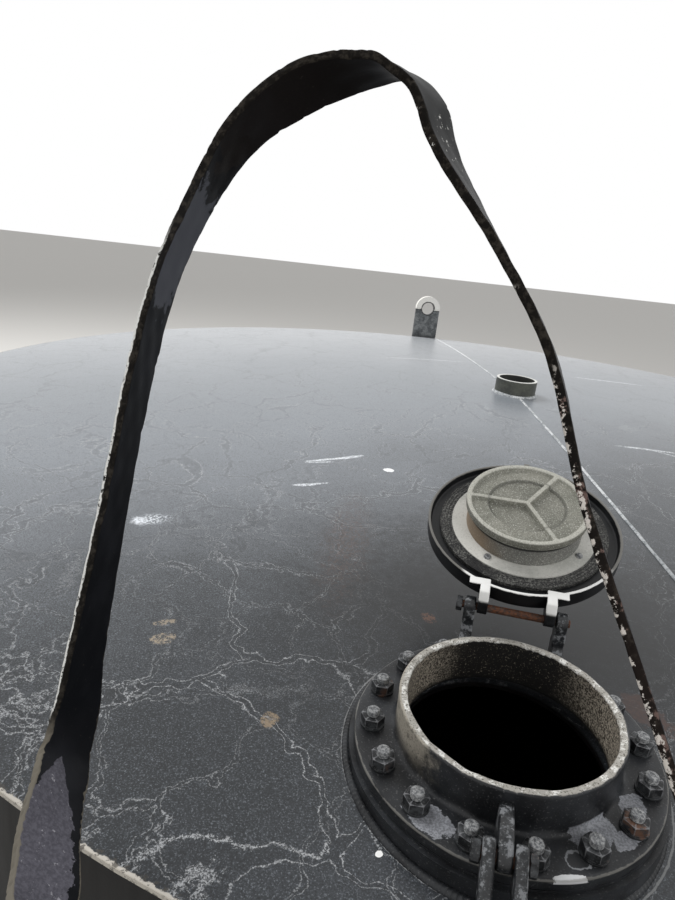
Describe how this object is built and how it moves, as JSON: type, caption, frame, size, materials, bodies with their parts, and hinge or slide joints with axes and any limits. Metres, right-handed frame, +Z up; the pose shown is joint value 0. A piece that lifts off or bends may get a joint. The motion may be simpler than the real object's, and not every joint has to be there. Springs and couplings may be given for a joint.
{
  "type": "low upright storage tank with a gauge hatch",
  "caption": "Low round welded-steel storage tank with a shallow domed roof, an open hinged gauge hatch, lifting lugs, a bent flat-bar hoop and a short ladder.",
  "frame": {"origin": "centre of the bottom plate's underside, on the floor", "axes": "+Z up; Y along the roof's weld seam, with +Y to the lug that is further from the hatch"},
  "size_m": [3.6678, 3.8584, 2.2143],
  "materials": {
    "shell_paint": "weathered grey paint",
    "roof_paint": "chalked grey paint",
    "weld_bead": "painted over, worn bright",
    "seal_rubber": "aged",
    "black_enamel": "chipped enamel",
    "rusty_steel": "rusted",
    "black_paint": "chipped",
    "pale_coating": "dusty",
    "cast_alloy": "dull cast"
  },
  "bodies": {
    "tank": {"bottom_plate": "shell_paint", "shell_near_left": "shell_paint", "shell_near_right": "shell_paint", "shell_far_left": "shell_paint", "shell_far_right": "shell_paint", "shell_seams": "shell_paint", "corner_welds": "shell_paint", "roof_left": "roof_paint", "roof_right": "roof_paint", "roof_seam": "weld_bead", "vent_collar": "shell_paint", "lug_far": "shell_paint", "lug_near": "shell_paint", "hatch_curb": "roof_paint", "hatch_gasket": "seal_rubber", "hatch_base": "black_enamel", "hinge_pin": "rusty_steel", "latch_pin": "rusty_steel", "hoop": "black_paint", "ladder_rail_left": "black_paint", "ladder_rail_right": "black_paint", "ladder_rungs": "black_paint", "ladder_brackets": "black_paint", "cleanout_neck": "shell_paint", "cleanout_seal": "seal_rubber", "cleanout_cover": "shell_paint", "cleanout_handles": "black_paint", "outlet_collar": "shell_paint", "fill_collar": "shell_paint", "drain_collar": "shell_paint"},
    "lid": {"lid_cap": "black_enamel", "lid_seal": "seal_rubber", "pallet_plate": "pale_coating", "pallet_drum": "cast_alloy", "pallet_disc": "cast_alloy"},
    "latch": {"latch_arm_left": "black_enamel", "latch_arm_right": "black_enamel", "latch_tread": "black_enamel"}
  },
  "joints": [
    {"name": "lid_hinge", "type": "hinge", "parent": "tank", "child": "lid", "pos_m": [-0.35582, -1.38786, 1.65797], "axis": [0.9683, -0.2475, 0.0349], "range_deg": [0, 162.4]},
    {"name": "latch_pivot", "type": "hinge", "parent": "tank", "child": "latch", "pos_m": [-0.42807, -1.67854, 1.60082], "axis": [-0.9683, 0.2475, -0.0349], "range_deg": [0, 138]}
  ]
}
